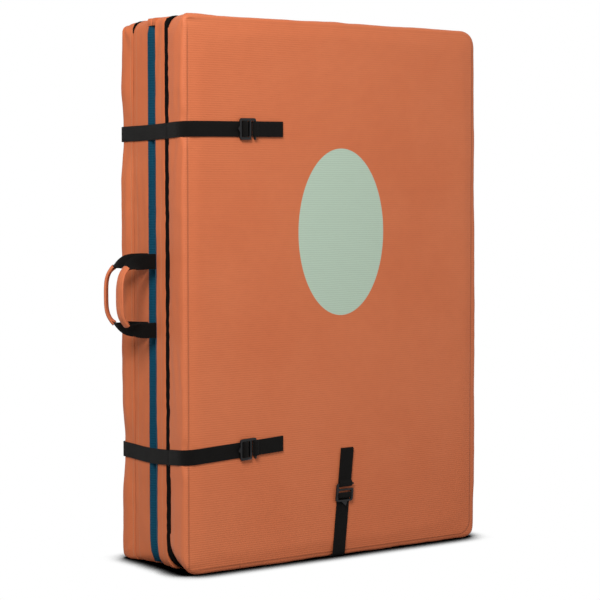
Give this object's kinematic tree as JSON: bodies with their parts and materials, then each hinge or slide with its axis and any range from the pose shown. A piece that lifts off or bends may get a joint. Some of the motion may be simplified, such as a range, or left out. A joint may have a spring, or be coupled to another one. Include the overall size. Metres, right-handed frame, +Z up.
{
  "type": "bouldering crash pad",
  "caption": "Hinged foam crash pad, shut and upright, in an orange cover with black webbing straps, hook buckles, carrying loops and a shoulder harness.",
  "frame": {"origin": "middle of the back half's base, on the surface that the shut pad stands on", "axes": "+Z up along the long side, +X to the hinge edge, +Y to the harness on the back"},
  "size_m": [0.6796, 0.2308, 0.9],
  "materials": {
    "orange_nylon": "matt ribbed nylon",
    "teal_nylon": "matt ribbed nylon",
    "black_webbing": "woven webbing",
    "black_hook_tape": "hook and loop tape",
    "black_metal": "satin black anodised",
    "black_plastic": "satin",
    "firm_foam": "closed-cell foam",
    "soft_foam": "open-cell foam"
  },
  "bodies": {
    "back_half": {"back_landing_panel": "teal_nylon", "back_top_band": "orange_nylon", "back_sidewall": "orange_nylon", "back_closure_tape": "black_hook_tape", "back_lid": "orange_nylon", "back_landing_foam": "firm_foam", "back_core_foam": "soft_foam", "back_base_foam": "firm_foam", "back_hinge_leaf": "orange_nylon", "upper_strap_root": "black_webbing", "lower_strap_root": "black_webbing", "bottom_strap_root": "black_webbing", "left_shoulder_root": "black_webbing", "right_shoulder_root": "black_webbing", "left_shoulder_anchor": "black_webbing", "right_shoulder_anchor": "black_webbing", "left_belt_root": "black_webbing", "right_belt_root": "black_webbing"},
    "front_half": {"front_landing_panel": "teal_nylon", "front_top_band": "orange_nylon", "front_sidewall": "orange_nylon", "front_closure_tape": "black_hook_tape", "front_lid": "orange_nylon", "front_landing_foam": "firm_foam", "front_core_foam": "soft_foam", "front_base_foam": "firm_foam", "front_hinge_leaf": "orange_nylon", "upper_anchor_loop": "black_webbing", "lower_anchor_loop": "black_webbing", "bottom_anchor_loop": "black_webbing"},
    "upper_strap_side": {"upper_strap_side": "black_webbing"},
    "upper_strap_front": {"upper_strap_front": "black_webbing", "upper_buckle": "black_metal"},
    "lower_strap_side": {"lower_strap_side": "black_webbing"},
    "lower_strap_front": {"lower_strap_front": "black_webbing", "lower_buckle": "black_metal"},
    "bottom_strap_front": {"bottom_strap_front": "black_webbing", "bottom_buckle": "black_metal"},
    "bottom_strap_under": {"bottom_strap_under": "black_webbing"},
    "back_handle": {"back_handle_webbing": "black_webbing", "back_handle_grip": "orange_nylon"},
    "front_handle": {"front_handle_webbing": "black_webbing", "front_handle_grip": "orange_nylon"},
    "left_shoulder_strap": {"left_shoulder_webbing": "black_webbing", "left_shoulder_pad": "black_webbing", "left_shoulder_buckle": "black_metal"},
    "right_shoulder_strap": {"right_shoulder_webbing": "black_webbing", "right_shoulder_pad": "black_webbing", "right_shoulder_buckle": "black_metal"},
    "left_belt_wing": {"left_belt_webbing": "black_webbing", "left_belt_clip": "black_plastic"},
    "right_belt_wing": {"right_belt_webbing": "black_webbing", "right_belt_socket": "black_plastic"}
  },
  "joints": [
    {"name": "fold", "type": "hinge", "parent": "back_half", "child": "front_half", "pos_m": [0.30145, -0.05, 0.45], "axis": [0, 0, 1], "range_deg": [0, 180]},
    {"name": "upper_strap_swing", "type": "hinge", "parent": "back_half", "child": "upper_strap_side", "pos_m": [-0.3011, 0.0541, 0.713], "axis": [0, 0, -1], "range_deg": [0, 110]},
    {"name": "upper_strap_bend", "type": "hinge", "parent": "upper_strap_side", "child": "upper_strap_front", "pos_m": [-0.3011, -0.1541, 0.7175], "axis": [0, 0, -1], "range_deg": [0, 90]},
    {"name": "lower_strap_swing", "type": "hinge", "parent": "back_half", "child": "lower_strap_side", "pos_m": [-0.3011, 0.0541, 0.1845], "axis": [0, 0, -1], "range_deg": [0, 110]},
    {"name": "lower_strap_bend", "type": "hinge", "parent": "lower_strap_side", "child": "lower_strap_front", "pos_m": [-0.3011, -0.1541, 0.1915], "axis": [0, 0, -1], "range_deg": [0, 90]},
    {"name": "bottom_strap_swing", "type": "hinge", "parent": "front_half", "child": "bottom_strap_front", "pos_m": [0.0125, -0.1571, 0.123], "axis": [-1, 0, 0], "range_deg": [0, 75]},
    {"name": "bottom_strap_bend", "type": "hinge", "parent": "bottom_strap_front", "child": "bottom_strap_under", "pos_m": [0.0006, -0.1541, 0.0011], "axis": [-1, 0, 0], "range_deg": [0, 90]},
    {"name": "back_handle_swing", "type": "hinge", "parent": "back_half", "child": "back_handle", "pos_m": [-0.3013, -0.0375, 0.44825], "axis": [0, 0, -1], "range_deg": [-15, 40]},
    {"name": "front_handle_swing", "type": "hinge", "parent": "front_half", "child": "front_handle", "pos_m": [-0.3013, -0.0625, 0.44825], "axis": [0, 0, 1], "range_deg": [-15, 75]},
    {"name": "left_shoulder_swing", "type": "hinge", "parent": "back_half", "child": "left_shoulder_strap", "pos_m": [-0.09, 0.0541, 0.745], "axis": [1, 0, 0], "range_deg": [0, 80]},
    {"name": "right_shoulder_swing", "type": "hinge", "parent": "back_half", "child": "right_shoulder_strap", "pos_m": [0.09, 0.0541, 0.745], "axis": [1, 0, 0], "range_deg": [0, 80]},
    {"name": "left_belt_swing", "type": "hinge", "parent": "back_half", "child": "left_belt_wing", "pos_m": [-0.24, 0.0541, 0.13], "axis": [0, 0, 1], "range_deg": [0, 90]},
    {"name": "right_belt_swing", "type": "hinge", "parent": "back_half", "child": "right_belt_wing", "pos_m": [0.24, 0.0541, 0.13], "axis": [0, 0, -1], "range_deg": [0, 90]}
  ]
}
